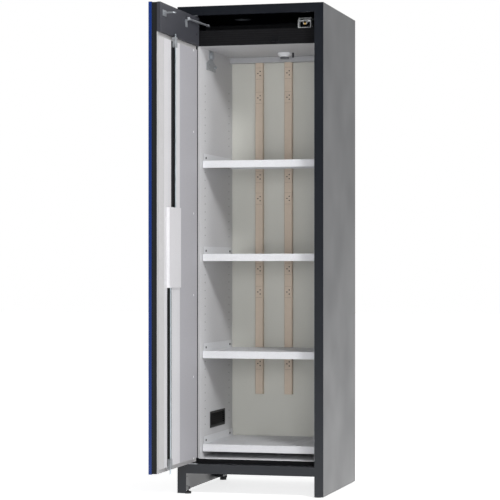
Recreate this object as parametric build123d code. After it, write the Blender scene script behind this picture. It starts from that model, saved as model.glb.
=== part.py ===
"""Fire-resistant storage and charging cabinet for batteries, one wing door, shown open.

Frame: origin on the floor at the centre of the footprint with the door open, X to the
right, Y into the cabinet, Z up, millimetres. Everything is drawn about the casing's own
centre first. The door pieces are drawn where they lie in the shut door and are turned
about the door's pivot to the open position at the end.
"""
from build123d import *
from math import asin, atan2, cos, degrees, hypot, pi, radians, sin, sqrt
import os

# --- Casing -----------------------------------------------------------------------------
width = 599.0
depth = 615.0
height = 1953.0
sheet = 1.5              # casing sheet steel
small_side_count = 8     # flats of small studs and holes
round_side_count = 24    # flats of larger round forms that nothing turns in
post_width = 36.5        # front face of each side panel
lip_height = 36.0        # front lip of the roof
return_depth = 20.0      # small folded returns
plinth_bottom = 85.0     # underside of the plinth beam
plinth_height = 37.0
panel_foot = 5.0         # side panels end this far above the floor

# --- Carcass: insulation boards lined with white sheet ------------------------------------
setback = 67.0           # front plane to the front of the boards
liner = 2.0
liner_return = 8.0       # the walls' liners are folded over the boards' front edges
wall_left = 74.5         # casing's outer face to the inner face; the left wall holds the air grille
wall_right = 52.5
wall_rear = 52.5
floor_thickness = 56.0   # plinth's underside to the inner floor
ceiling_thickness = 62.0
roof_space = 91.0        # carcass top to the cabinet's top
seal = 6.0               # thickness of the sealing strips on the boards' front edges
seal_rib = 5.0           # height of one rib of the top strip
seal_rib_gap = 4.0
vent_length = 217.5
vent_height = 59.0
vent_inset = 150.5       # carcass front to the opening
vent_rise = 113.0        # inner floor to the opening
vent_depth = 22.0        # pocket behind the grille
grille_frame = 5.0
grille_proud = 2.0
slat_count = 6
slat = 1.2
slat_tilt = 35.0
row_front_inset = 75.5   # carcass front to the front row of peg holes
row_back_inset = 55.0    # rear wall to the back row
row_hole_radius = 2.55

# --- Shelves ------------------------------------------------------------------------------
shelf_rise_1 = 53.0      # inner floor to each shelf's surface
shelf_rise_2 = 430.0
shelf_rise_3 = 823.0
shelf_rise_4 = 1200.0
shelf_sheet = 1.2
shelf_front_inset = 32.5 # carcass front to the shelf's lip
shelf_lip = 29.0
shelf_side = 30.0        # upstand at each side
shelf_side_setback = 15.0
shelf_rear_gap = 5.0
shelf_side_gap = 2.0
peg_radius = 2.5
peg_head_radius = 4.5
peg_head = 2.5
peg_height = 13.0        # above the shelf's surface
bead_count = 9           # pressed beads along each shelf
bead_width = 8.0
bead_height = 0.8

# --- Power, detector and air ------------------------------------------------------------------
strip_width = 33.0
strip_depth = 25.0
strip_insets = [124.0, 251.0]   # left wall to each strip's middle
strip_bottom = 372.0
socket_levels = [501.0, 805.0, 903.0, 1201.0, 1293.0, 1629.0, 1732.0]
socket_hole_radius = 2.4
socket_hole_depth = 8.0
socket_spread_x = 5.0
socket_spread_z = 8.7
duct_height = 23.0
duct_depth = 36.0
duct_wall = 2.0
duct_lid = 2.5
detector_inset_x = 200.0 # right wall to the detector's middle
detector_inset_y = 171.0 # rear wall to the detector's middle
detector_radius = 30.0
detector_base_height = 12.0
detector_neck_radius = 22.0
detector_neck_height = 4.0
chamber_radius = 18.0
chamber_height = 9.0
chamber_slot_count = 10
chamber_slot = 5.0
chamber_rim = 2.0
detector_slope = 4.0
detector_side_count = 30
damper_inset = 90.5      # carcass front to the plate
damper_width = 138.0
damper_height = 83.0
damper_top_gap = 2.0
damper_sheet = 2.0
damper_neck = 60.0       # width of the plate's narrow upper half
damper_shoulder = 40.0   # height of the narrow half
damper_boss_radius = 15.0
damper_boss = 9.0
damper_slope = 14.0
damper_stop_inset = 16.0 # small stud on the plate's wide half
damper_stop_drop = 24.0
damper_stop_radius = 5.0
spigot_radius = 37.5
spigot_wall = 1.5
spigot_height = 40.0
spigot_flange = 14.0
spigot_inset_x = 149.5   # casing's left side to the collar's middle
spigot_inset_y = 157.5   # casing's rear to the collar's middle
gland_inset_x = 149.5
gland_inset_y = 107.5
gland_radius = 12.0
gland_bore = 5.5
gland_height = 14.0
gland_nut = 8.0
gland_brim = 4.0
gland_spigot = 6.0
gland_play = 0.1
gland_taper = 8.0        # degrees
hexagon_side_count = 6

# --- Feet ---------------------------------------------------------------------------------
foot_inset_x = 31.0
foot_inset_y = 42.0
foot_radius = 14.0
foot_height = 9.0
foot_stem_radius = 4.9
foot_stem_top = 48.0
foot_plate_z = 16.0
foot_plate = 3.0
foot_plate_length = 62.0
foot_cheek_top = 12.0    # the cheek's width at the plinth; at the plate it is the plate's length
foot_hole_inset = 11.0
foot_web_hole = 3.5
foot_nut = 10.0
foot_nut_radius = 8.5
thread_clearance = 0.05

# --- Door (sizes of the shut door, depths counted from its outer face) ------------------------
door_side_gap = 3.5
door_end_gap = 9.0
pivot_inset_x = 6.0
pivot_inset_y = 6.5
pin_radius = 3.5
pin_clearance = 0.06
pin_length = 40.0
collar_radius = 5.8
collar_gap = 0.3
hinge_plate = 2.5
hinge_plate_length = 44.0
hinge_plate_width = 17.0
hinge_block_width = 22.0
tray_depth = 12.5        # folded edge of the outer panel
outer_bend = 1.2
edge_recess = 2.0        # the black edge band lies back from the panel's edge
edge_band = 3.0
rim_depth = 35.0         # outer face to the face of the liner's rim
liner_sheet = 1.5
plateau_depth = 53.5     # outer face to the raised inner face
rim_free = 20.0          # rim width on the free side
rim_hinge = 44.0
rim_end = 14.0           # rim width at top and bottom
rim_slope = 6.0          # run of the sloping side
liner_bottom_gap = 2.0   # door's bottom edge to the liner
door_cover_height = 113.0
cover_depth = 48.0       # outer face to the face of the top cover
cover_inset = 1.0
board_split_reach = 96.0 # handle's axis to the joint of the grey board and the lock profile

# --- Lock ----------------------------------------------------------------------------------
lock_z = 985.0
pinion_inset = 135.5     # free edge to the handle's axis
pinion_module = 2.6
pinion_teeth = 20
pressure_angle = 20.0
backlash = 0.5
gear_width = 6.0
handle_travel = 45.0     # degrees
rod_radius = 3.0
rod_side_count = 16
rod_point = 1.2
rod_plane = 55.0         # depth of the rods' axes
rod_clearance = 0.08
rack_back = 7.0          # rack bar behind its teeth
rack_reach = 62.0        # rack end beyond the pinion's axis
upper_tip_reach = 9.0    # rod's tip past the liner's upper edge
lower_tip_gap = 1.2      # rod's tip over the ledge
groove_depth = 7.0
upper_groove_reach = (47.0, -18.0)   # from the handle's axis to the groove's sides
lower_groove_reach = (-12.0, -70.0)
guide_length = 38.0
guide_upper_inset = 5.0  # liner's upper edge to the guide
guide_lower_inset = 10.0
guide_half_width = 11.0
guide_room = 0.3
case_half_height = 153.0
case_left_reach = 79.0
case_right_reach = 74.0
case_proud = 10.0
case_flange = 33.0
case_sheet = 1.5
spindle_radius = 4.0
spindle_clearance = 0.06
handle_proud = 12.0
handle_length = 118.0
handle_width = 24.0
handle_hub_radius = 13.0
handle_edge = 2.0
handle_play = 0.3        # hub to the escutcheon
handle_gap = 1.4         # lever to the escutcheon
escutcheon = 2.0
escutcheon_length = 150.0
escutcheon_width = 46.0
cylinder_radius = 9.0
plug_radius = 5.5
cylinder_drop = 44.0     # handle axis to the key cylinder
cylinder_proud = 3.0
cylinder_play = 0.1
cylinder_edge = 0.8
hole_play = 0.5
cylinder_depth = 26.0
keyway_width = 1.6
keyway_height = 7.0
keyway_depth = 10.0
keeper_gap = 6.0         # over the rod's tip
keeper_sheet = 3.0
keeper_half_width = 14.0
keeper_clearance = 0.4
screw_inset = 98.5       # hinge edge to the screws
screw_end_inset = 21.0   # liner's lower edge to the lowest screw
screw_top_inset = 27.0
screw_count = 6
screw_radius = 4.0
screw_head = 1.8

# --- Door stay and latch in the space over the carcass ----------------------------------------
stay_reach_share = 0.34  # of the door's width, from the door pivot to the stay pivot
stay_offset = 50.0       # door pivot to stay pivot, across the door
runner_share = 0.35      # of the stay's reach, from the door pivot to the runner with the door open
runner_inset_y = 6.5     # carcass front to the runner
stay_half_width = 7.0
stay_sheet = 4.0
stay_height = 18.0       # arm over the carcass
stay_stud_radius = 4.0
stay_head_radius = 6.5
path_step_count = 30
runner_radius = 5.0
rail_height = 16.0
rail_sheet = 1.5
rail_clearance = 1.0
bracket_sheet = 2.5
bracket_drop = 26.0
latch_reach_left = 30.0  # from the hook's middle to the bracket's cheeks
latch_reach_right = 22.0
latch_sheet = 2.0
latch_height = 42.0
latch_pin_inset = 18.5   # carcass front to the lever's pin
latch_pin_height = 31.0
latch_pin_radius = 3.0
latch_roller_inset = 5.0 # roller's axis in front of the carcass
latch_roller_gap = 1.5   # roller over the hook
latch_roller_radius = 7.0
latch_roller_width = 10.0
roller_pin_radius = 2.5
latch_hub_radius = 5.5
latch_hub_reach = 6.0
hook_inset = 47.5        # door's free edge to the hook's middle
hook_height = 6.0        # hook over the carcass
hook_sheet = 4.0
hook_width = 26.0
hook_reach = 45.0
hook_corner = 6.0

# --- Places worked out from the sizes ----------------------------------------------------------
side_x = width / 2
front_y = -depth / 2
rear_y = depth / 2
post_x = side_x - post_width
lip_bottom = height - lip_height
ledge_z = plinth_bottom + plinth_height
board_y = front_y + setback
seal_y = board_y - seal
floor_pan_z = plinth_bottom + sheet
inner_left = -side_x + wall_left
inner_right = side_x - wall_right
inner_back = rear_y - wall_rear
inner_floor = plinth_bottom + floor_thickness
carcass_top = height - roof_space
inner_ceiling = carcass_top - ceiling_thickness
liner_left_x = inner_left - liner
liner_right_x = inner_right + liner
liner_back_y = inner_back + liner

shelf_levels = [inner_floor + rise for rise in (shelf_rise_1, shelf_rise_2, shelf_rise_3, shelf_rise_4)]
shelf_front = board_y + shelf_front_inset
row_front = board_y + row_front_inset
row_back = inner_back - row_back_inset
vent_front = board_y + vent_inset
vent_bottom = inner_floor + vent_rise
strip_centres = [inner_left + inset for inset in strip_insets]
detector_x = inner_right - detector_inset_x
detector_y = inner_back - detector_inset_y
damper_front = board_y + damper_inset
damper_back = damper_front + damper_width
damper_bottom = inner_ceiling - damper_top_gap - damper_height
spigot_x = -side_x + spigot_inset_x
spigot_y = rear_y - spigot_inset_y
gland_x = side_x - gland_inset_x
gland_y = rear_y - gland_inset_y

door_x = post_x - door_side_gap
door_bottom = ledge_z + door_end_gap
door_top = lip_bottom - door_end_gap
pivot_x = -door_x + pivot_inset_x
pivot_y = front_y + pivot_inset_y
open_reach = pivot_y - (door_x - pivot_x)    # free edge of the open door
origin_y = (open_reach + rear_y) / 2
liner_bottom = door_bottom + liner_bottom_gap
liner_top = door_top - door_cover_height
band_y = front_y + cover_depth
screw_x = -door_x + screw_inset
screw_low = liner_bottom + screw_end_inset
screw_step = (liner_top - screw_top_inset - screw_low) / (screw_count - 1)
screw_levels = [screw_low + i * screw_step for i in range(screw_count)]

pinion_x = door_x - pinion_inset
board_split = pinion_x - board_split_reach
upper_groove = [pinion_x - reach for reach in upper_groove_reach]
lower_groove = [pinion_x - reach for reach in lower_groove_reach]
case_left = pinion_x - case_left_reach
case_right = pinion_x + case_right_reach
upper_tip = liner_top + upper_tip_reach
lower_tip = ledge_z + lower_tip_gap
keeper_z = upper_tip + keeper_gap
guide_upper = (liner_top - guide_upper_inset - guide_length, liner_top - guide_upper_inset)
guide_lower = (liner_bottom + guide_lower_inset, liner_bottom + guide_lower_inset + guide_length)
pitch_radius = pinion_module * pinion_teeth / 2
rod_y = front_y + rod_plane
upper_rack_x = pinion_x - pitch_radius
lower_rack_x = pinion_x + pitch_radius
root_depth = 1.25 * pinion_module
upper_rod_x = upper_rack_x - root_depth - rack_back / 2
lower_rod_x = lower_rack_x + root_depth + rack_back / 2
rod_travel = pitch_radius * radians(handle_travel)

stay_reach = stay_reach_share * 2 * door_x
stay_end_x = pivot_x + runner_share * stay_reach
stay_end_y = board_y + runner_inset_y
stay_z = carcass_top + stay_height
hook_x = door_x - hook_inset
hook_z = carcass_top + hook_height
latch_left = hook_x - latch_reach_left
latch_right = hook_x + latch_reach_right
latch_top = carcass_top + latch_height
latch_pin_y = board_y + latch_pin_inset
latch_pin_z = carcass_top + latch_pin_height
latch_roller_y = board_y - latch_roller_inset
latch_roller_z = hook_z + hook_sheet + latch_roller_gap + latch_roller_radius

parts = {}


# --- Helpers ------------------------------------------------------------------------------------
def block(x, y, z):
    """Box between two values on each axis."""
    size = [abs(b - a) for a, b in (x, y, z)]
    return Pos(*[(a + b) / 2 for a, b in (x, y, z)]) * Box(*size)


def rod_up(x, y, z, radius):
    """Cylinder along Z between two heights."""
    return Pos(x, y, (z[0] + z[1]) / 2) * Cylinder(radius, abs(z[1] - z[0]))


def rod_in(x, y, z, radius):
    """Cylinder along Y between two depths."""
    return Pos(x, (y[0] + y[1]) / 2, z) * Rot(90, 0, 0) * Cylinder(radius, abs(y[1] - y[0]))


def rod_across(x, y, z, radius):
    """Cylinder along X between two places."""
    return Pos((x[0] + x[1]) / 2, y, z) * Rot(0, 90, 0) * Cylinder(radius, abs(x[1] - x[0]))


def stud_up(x, y, z, radius, side_count=small_side_count):
    """Round stud or hole along Z, drawn with flats."""
    return Pos(x, y, z[0]) * extrude(RegularPolygon(radius, side_count), z[1] - z[0])


def stud_across(x, y, z, radius, side_count=small_side_count):
    """Round stud or hole along X, drawn with flats."""
    plane = Plane(origin=(x[0], y, z), x_dir=(0, 1, 0), z_dir=(1, 0, 0))
    return plane * extrude(RegularPolygon(radius, side_count), x[1] - x[0])


def stud_in(x, y, z, radius, side_count=small_side_count):
    """Round stud or hole along Y, drawn with flats."""
    plane = Plane(origin=(x, y[1], z), x_dir=(1, 0, 0), z_dir=(0, -1, 0))
    return plane * extrude(RegularPolygon(radius, side_count), y[1] - y[0])


def over_flats(radius, side_count=small_side_count):
    """Corner radius of a hole with flats that a round of this radius fits into."""
    return radius / cos(pi / side_count)


def slot_outline(run, radius, end_count=6):
    """Bar along X with rounded ends: the distance between the ends' centres and their radius."""
    turns = [pi * (i / end_count - 0.5) for i in range(end_count + 1)]
    right = [(run / 2 + radius * cos(turn), radius * sin(turn)) for turn in turns]
    left = [(-x, -y) for x, y in right]
    return make_face(Polyline(*right, *left, close=True))


def folded(path, thickness):
    """Outline of a folded sheet: the path of its outer face, thickened to the left."""
    points = [Vector(*p) for p in path]
    ways = [(b - a).normalized() for a, b in zip(points, points[1:])]
    ways = [ways[0]] + ways + [ways[-1]]
    inner = []
    for point, before, after in zip(points, ways, ways[1:]):
        left_a = Vector(-before.Y, before.X)
        left_b = Vector(-after.Y, after.X)
        mitre = (left_a + left_b) * (thickness / (1 + left_a.dot(left_b)))
        inner.append(point + mitre)
    return make_face(Polyline(*points, *reversed(inner), close=True))


def extrude_up(face, z):
    """Plan view outline stood up between two heights."""
    return Pos(0, 0, z[0]) * extrude(face, z[1] - z[0])


def extrude_across(face, x):
    """Outline in Y and Z, carried along X between two places."""
    plane = Plane(origin=(x[0], 0, 0), x_dir=(0, 1, 0), z_dir=(1, 0, 0))
    return plane * extrude(face, x[1] - x[0])


def mirrored(shape):
    return mirror(shape, Plane.YZ)


def group(solids):
    """Separate solids kept in one sub-part."""
    return Compound([solid for shape in solids for solid in shape.solids()])


def opened(shape):
    """Turn a piece of the shut door to the open door."""
    return Pos(pivot_x, pivot_y, 0) * Rot(0, 0, -90) * Pos(-pivot_x, -pivot_y, 0) * shape


# --- Casing -----------------------------------------------------------------------------------------
def side_panel():
    """Right side: skin, front post, its inner return, rear return and top return."""
    plan = folded([(post_x, board_y), (post_x, front_y), (side_x, front_y),
                   (side_x, rear_y), (post_x, rear_y)], sheet)
    panel = extrude_up(plan, (panel_foot, height))
    panel += block((post_x, side_x - sheet), (front_y + sheet, rear_y - sheet), (height - sheet, height))
    leg_room = block((post_x - 1, post_x + foot_plate), (front_y + sheet, board_y + 1),
                     (panel_foot - 1, plinth_bottom))
    return panel - leg_room


def roof_panel():
    section = folded([(rear_y, height - return_depth), (rear_y, height), (front_y, height),
                      (front_y, lip_bottom), (front_y + return_depth, lip_bottom)], sheet)
    roof = extrude_across(section, (-post_x, post_x))
    inner_radius = spigot_radius - spigot_wall
    roof -= stud_up(spigot_x, spigot_y, (height - 9, height + 9), inner_radius, 2 * round_side_count)
    return roof - stud_up(gland_x, gland_y, (height - 9, height + 9), gland_radius, round_side_count)


def rear_panel():
    return block((-side_x + sheet, side_x - sheet), (rear_y - 2 * sheet, rear_y - sheet),
                 (plinth_bottom, height - sheet))


def plinth_beam():
    section = folded([(board_y, ledge_z), (front_y, ledge_z), (front_y, plinth_bottom),
                      (front_y + return_depth, plinth_bottom)], sheet)
    beam = extrude_across(section, (-post_x, post_x))
    return beam - stud_up(lower_rod_x, rod_y, (ledge_z - 9, ledge_z + 9),
                          over_flats(rod_radius + keeper_clearance, rod_side_count), rod_side_count)


def base_pan():
    return block((-side_x + sheet, side_x - sheet), (board_y, rear_y - 2 * sheet),
                 (plinth_bottom, floor_pan_z))


def foot_places():
    x = side_x - foot_inset_x
    y = depth / 2 - foot_inset_y
    return {"front_left": (-x, -y), "front_right": (x, -y), "rear_left": (-x, y), "rear_right": (x, y)}


def foot_bracket(x, y):
    """Bracket in a leg: cheek in place of the post's return, wider towards the floor, and a plate
    carrying the foot's nut."""
    face_y = front_y + sheet
    reach_y = face_y + foot_plate_length
    cheek = make_face(Polyline((face_y, foot_plate_z), (reach_y, foot_plate_z),
                               (face_y + foot_cheek_top, plinth_bottom), (face_y, plinth_bottom),
                               close=True))
    bracket = extrude_across(cheek, (post_x, post_x + foot_plate))
    bracket += block((post_x, side_x - sheet), (face_y, reach_y), (foot_plate_z, foot_plate_z + foot_plate))
    stem_x, stem_y = abs(x), -abs(y)
    nut = extrude(RegularPolygon(foot_nut_radius, hexagon_side_count), foot_nut)
    bracket += Pos(stem_x, stem_y, foot_plate_z + foot_plate) * nut
    bracket -= stud_up(stem_x, stem_y, (foot_plate_z - 1, foot_stem_top),
                       over_flats(foot_stem_radius + thread_clearance, round_side_count), round_side_count)
    for share in (0.25, 0.8):
        level = foot_plate_z + share * (plinth_bottom - foot_plate_z)
        bracket -= stud_across((post_x - 1, post_x + foot_plate + 1), face_y + foot_hole_inset, level,
                               foot_web_hole)
    if y > 0:
        bracket = mirror(bracket, Plane.XZ)
    return bracket if x > 0 else mirrored(bracket)


def levelling_foot(x, y):
    """Pad with flats for a spanner and its threaded stem."""
    pad = Pos(x, y, 0) * extrude(RegularPolygon(foot_radius, round_side_count), foot_height)
    return pad + rod_up(x, y, (foot_height, foot_stem_top), foot_stem_radius)


# --- Carcass ---------------------------------------------------------------------------------------
def vent_opening(x, margin):
    """Space of the air opening in the left wall."""
    return block(x, (vent_front + margin, vent_front + vent_length - margin),
                 (vent_bottom + margin, vent_bottom + vent_height - margin))


def insulation_boards():
    back = rear_y - 2 * sheet
    skin = side_x - sheet
    tall = (floor_pan_z, carcass_top)
    span = (liner_left_x, liner_right_x)
    left = block((-skin, liner_left_x), (board_y, back), tall)
    left -= vent_opening((liner_left_x - vent_depth, liner_left_x), 0)
    right = block((liner_right_x, skin), (board_y, back), tall)
    rear = block(span, (liner_back_y, back), tall)
    ceiling = block(span, (board_y, liner_back_y), (inner_ceiling + liner, carcass_top))
    floor = block(span, (board_y, liner_back_y), (floor_pan_z, inner_floor - liner))
    return group([left, right, rear, ceiling, floor])


def peg_places():
    return [(y, level + peg_height) for level in shelf_levels for y in (row_front, row_back)]


def wall_liner(x, fold):
    """Sheet on a side wall, folded over the board's front edge."""
    tall = (inner_floor, inner_ceiling)
    wall = block(x, (board_y, inner_back), tall) + block(fold, (board_y - liner, board_y), tall)
    for y, z in peg_places():
        wall -= stud_across((x[0] - 1, x[1] + 1), y, z, row_hole_radius)
    return wall


def liner_left():
    wall = wall_liner((liner_left_x, inner_left), (inner_left - liner_return, inner_left))
    return wall - vent_opening((liner_left_x - 1, inner_left + 1), 0)


def liner_right():
    return wall_liner((inner_right, liner_right_x), (inner_right, inner_right + liner_return))


def liner_rear():
    return block((liner_left_x, liner_right_x), (inner_back, liner_back_y), (inner_floor, inner_ceiling))


def liner_ceiling():
    return block((liner_left_x, liner_right_x), (board_y, liner_back_y),
                 (inner_ceiling, inner_ceiling + liner))


def liner_floor():
    return block((liner_left_x, liner_right_x), (seal_y, liner_back_y), (inner_floor - liner, inner_floor))


def seals():
    """Black strips round the opening that swell in a fire; the top one is ribbed."""
    rib_depth = seal / 3
    base = block((-post_x, post_x), (seal_y + rib_depth, board_y), (inner_ceiling, carcass_top))
    pitch = seal_rib + seal_rib_gap
    ribs = int((carcass_top - inner_ceiling + seal_rib_gap) / pitch)
    for i in range(ribs):
        top = carcass_top - i * pitch
        base += block((-post_x, post_x), (seal_y, seal_y + rib_depth), (top - seal_rib, top))
    bottom = block((-post_x, post_x), (seal_y, board_y), (ledge_z, inner_floor - liner))
    tall = (inner_floor, inner_ceiling)
    left = block((-post_x, inner_left - liner_return), (seal_y, board_y), tall)
    right = block((inner_right + liner_return, post_x), (seal_y, board_y), tall)
    return group([base, bottom, left, right])


def vent_grille():
    """Black louvre let into the left wall."""
    x = (liner_left_x - vent_depth / 2, inner_left + grille_proud)
    frame = vent_opening(x, 0) - vent_opening((x[0] - 1, x[1] + 1), grille_frame)
    flange = vent_opening((inner_left, inner_left + grille_proud), -4)
    flange -= vent_opening((inner_left - 1, inner_left + grille_proud + 1), grille_frame)
    frame += flange
    inside = vent_height - 2 * grille_frame
    length = vent_length - 2 * grille_frame + 2
    for i in range(slat_count):
        z = vent_bottom + grille_frame + (i + 0.5) * inside / slat_count
        middle = Pos((x[0] + x[1]) / 2, vent_front + vent_length / 2, z)
        frame += middle * Rot(0, slat_tilt, 0) * Box((x[1] - x[0]) * 0.8, length, slat)
    return frame


# --- Shelves -------------------------------------------------------------------------------------
def shelf(level):
    """Folded shelf: deck with pressed beads, front and rear lips down, upstands at the sides."""
    left = inner_left + shelf_side_gap
    right = inner_right - shelf_side_gap
    back = inner_back - shelf_rear_gap
    if level + shelf_side > strip_bottom:
        back = inner_back - strip_depth - shelf_rear_gap
    section = folded([(back, level - shelf_lip / 2), (back, level), (shelf_front, level),
                      (shelf_front, level - shelf_lip), (shelf_front + 9, level - shelf_lip)], shelf_sheet)
    tray = extrude_across(section, (left, right))
    run = (shelf_front + shelf_side_setback, back)
    pitch = (right - left) / (bead_count + 1)
    for i in range(bead_count):
        x = left + (i + 1) * pitch
        tray += block((x - bead_width / 2, x + bead_width / 2), (run[0] + 12, run[1] - 12),
                      (level, level + bead_height))
    for outer, inner in ((left, left + shelf_sheet), (right, right - shelf_sheet)):
        side = block((outer, inner), run, (level - shelf_sheet, level + shelf_side))
        side = chamfer(side.edges().filter_by(Axis.X).group_by(Axis.Z)[-1].sort_by(Axis.Y)[0], 4)
        tray += side
        for y in (row_front, row_back):
            tray -= stud_across((outer - 3, outer + 3), y, level + peg_height, row_hole_radius)
    return tray


def shelf_pegs():
    """Studs through the upstands into the wall."""
    pegs = []
    for wall, way in ((inner_left, 1), (inner_right, -1)):
        for y, z in peg_places():
            face = wall + way * (shelf_side_gap + shelf_sheet)
            shank = stud_across(sorted((wall - way * liner, face)), y, z, peg_radius)
            pegs.append(shank + stud_across(sorted((face, face + way * peg_head)), y, z, peg_head_radius))
    return group(pegs)


# --- Power, detector and air ---------------------------------------------------------------------------
def socket_strip(x):
    """Beige power strip with three-hole sockets facing the door."""
    front = inner_back - strip_depth
    top = inner_ceiling - duct_height
    strip = block((x - strip_width / 2, x + strip_width / 2), (front, inner_back), (strip_bottom, top))
    strip = chamfer(strip.edges().filter_by(Axis.Z).group_by(Axis.Y)[0], 2)
    places = [(-socket_spread_x, 0), (socket_spread_x, socket_spread_z), (socket_spread_x, -socket_spread_z)]
    for level in socket_levels:
        for dx, dz in places:
            strip -= stud_in(x + dx, (front - 1, front + socket_hole_depth), level + dz, socket_hole_radius)
    return strip


def cable_duct():
    """Trunking along the top of the rear wall, with its lid as the front face."""
    z = (inner_ceiling - duct_height, inner_ceiling)
    front = inner_back - duct_depth
    duct = block((inner_left, inner_right), (front + duct_lid, inner_back), z)
    duct -= block((inner_left + duct_wall, inner_right - duct_wall), (front + duct_lid - 1, inner_back - duct_wall),
                  (z[0] + duct_wall, z[1] - duct_wall))
    lid = block((inner_left, inner_right), (front, front + duct_lid), z)
    return group([duct, chamfer(lid.edges().filter_by(Axis.X).group_by(Axis.Y)[0], 1)])


def smoke_detector_base():
    top = inner_ceiling
    low = top - detector_base_height
    base = stud_up(detector_x, detector_y, (low, top), detector_radius, detector_side_count)
    base = chamfer(base.edges().group_by(Axis.Z)[0], detector_slope)
    return base + stud_up(detector_x, detector_y, (low - detector_neck_height, low), detector_neck_radius,
                          detector_side_count)


def smoke_detector_chamber():
    """Slotted sensing chamber under the base."""
    top = inner_ceiling - detector_base_height - detector_neck_height
    low = top - chamber_height
    chamber = stud_up(detector_x, detector_y, (low, top), chamber_radius, detector_side_count)
    for i in range(chamber_slot_count):
        angle = 360 * i / chamber_slot_count
        slot = Pos(detector_x, detector_y, 0) * Rot(0, 0, angle) * block(
            (chamber_radius / 1.5, chamber_radius + 1), (-chamber_slot / 2, chamber_slot / 2),
            (low + chamber_rim, top - chamber_rim))
        chamber -= slot
    return chamber


def damper_plate():
    """Plate of the air damper on the left wall, wide below and narrow above, with its boss."""
    top = inner_ceiling - damper_top_gap
    middle = (damper_front + damper_back) / 2
    shoulder = top - damper_shoulder
    outline = make_face(Polyline(
        (damper_front, damper_bottom), (damper_back, damper_bottom), (damper_back, shoulder - damper_slope),
        (middle + damper_neck / 2, shoulder), (middle + damper_neck / 2, top),
        (middle - damper_neck / 2, top), (middle - damper_neck / 2, shoulder),
        (damper_front, shoulder - damper_slope), close=True))
    plate = extrude_across(outline, (inner_left, inner_left + damper_sheet))
    face = inner_left + damper_sheet
    plate += stud_across((face, face + damper_boss), middle, top - damper_shoulder / 2, damper_boss_radius,
                         round_side_count)
    return plate + stud_across((face, face + damper_boss), damper_back - damper_stop_inset,
                               shoulder - damper_stop_drop, damper_stop_radius)


def exhaust_spigot():
    """Round collar on the roof for an extraction hose."""
    collar = rod_up(spigot_x, spigot_y, (height, height + spigot_height), spigot_radius)
    half = spigot_radius + spigot_flange
    collar += block((spigot_x - half, spigot_x + half), (spigot_y - half, spigot_y + half), (height, height + 2))
    return collar - stud_up(spigot_x, spigot_y, (height - 1, height + spigot_height + 1),
                            spigot_radius - spigot_wall, 2 * round_side_count)


def cable_gland():
    """Supply cable gland on the roof: flange, hexagon and domed nut."""
    body = stud_up(gland_x, gland_y, (height - gland_spigot, height), gland_radius - gland_play,
                   round_side_count)
    body += stud_up(gland_x, gland_y, (height, height + gland_nut), gland_radius + gland_brim, hexagon_side_count)
    dome = Pos(gland_x, gland_y, height + gland_nut) * extrude(
        RegularPolygon(gland_radius, round_side_count), gland_height, taper=gland_taper)
    bore = rod_up(gland_x, gland_y, (height - gland_spigot - 1, height + gland_nut + gland_height + 1), gland_bore)
    return body + dome - bore


# --- Hinges ------------------------------------------------------------------------------------------
def hinge_brackets():
    """Plates under the roof lip and on the ledge, each with its pin and thrust collar."""
    plate_x = (-post_x, -post_x + hinge_plate_length)
    plate_y = (front_y + sheet, front_y + sheet + hinge_plate_width)
    top = block(plate_x, plate_y, (lip_bottom - hinge_plate, lip_bottom))
    top += stud_up(pivot_x, pivot_y, (door_top + collar_gap, lip_bottom), collar_radius, round_side_count)
    top += rod_up(pivot_x, pivot_y, (door_top - pin_length, lip_bottom), pin_radius)
    low = block(plate_x, plate_y, (ledge_z, ledge_z + hinge_plate))
    low += stud_up(pivot_x, pivot_y, (ledge_z, door_bottom - collar_gap), collar_radius, round_side_count)
    low += rod_up(pivot_x, pivot_y, (ledge_z, door_bottom + pin_length), pin_radius)
    return group([top, low])


def hinge_seats(margin):
    """Spaces of the two bearing blocks in the door's hinge corners."""
    x = (-door_x + sheet, -door_x + sheet + hinge_block_width + margin)
    y = (front_y + sheet, front_y + tray_depth + 1 + margin)
    length = pin_length + 5 + margin
    return [block(x, y, (door_top - sheet - length, door_top - sheet)),
            block(x, y, (door_bottom + sheet, door_bottom + sheet + length))]


def hinge_blocks():
    bore = rod_up(pivot_x, pivot_y, (door_bottom - 1, door_top + 1), pin_radius + pin_clearance)
    return group([seat - bore for seat in hinge_seats(0)])


# --- Door shell ----------------------------------------------------------------------------------------
def door_outer_panel():
    """Painted outer tray: face and four folded edges."""
    outer = block((-door_x, door_x), (front_y, front_y + tray_depth), (door_bottom, door_top))
    outer = chamfer(outer.edges().group_by(Axis.Y)[0], outer_bend)
    outer -= block((-door_x + sheet, door_x - sheet), (front_y + sheet, front_y + tray_depth + 1),
                   (door_bottom + sheet, door_top - sheet))
    pin_room = over_flats(pin_radius + collar_gap)
    outer -= stud_up(pivot_x, pivot_y, (door_bottom - 1, door_bottom + sheet + 1), pin_room)
    outer -= stud_up(pivot_x, pivot_y, (door_top - sheet - 1, door_top + 1), pin_room)
    outer -= stud_in(pinion_x, (front_y - 1, front_y + sheet + 1), lock_z, over_flats(spindle_radius + hole_play))
    return outer - stud_in(pinion_x, (front_y - 1, front_y + sheet + 1), lock_z - cylinder_drop,
                           over_flats(cylinder_radius, round_side_count) + cylinder_play, round_side_count)


def door_edge_band():
    """Black strip round the door's edge that swells in a fire."""
    x = door_x - edge_recess
    z = (door_bottom + edge_recess, door_top - edge_recess)
    y = (front_y + tray_depth, front_y + rim_depth - liner_sheet)
    ring = block((-x, x), y, z)
    inner = x - edge_band
    ring -= block((-inner, inner), (y[0] - 1, y[1] + 1), (z[0] + edge_band, z[1] - edge_band))
    for seat in hinge_seats(0):
        ring -= seat
    return ring


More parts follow.
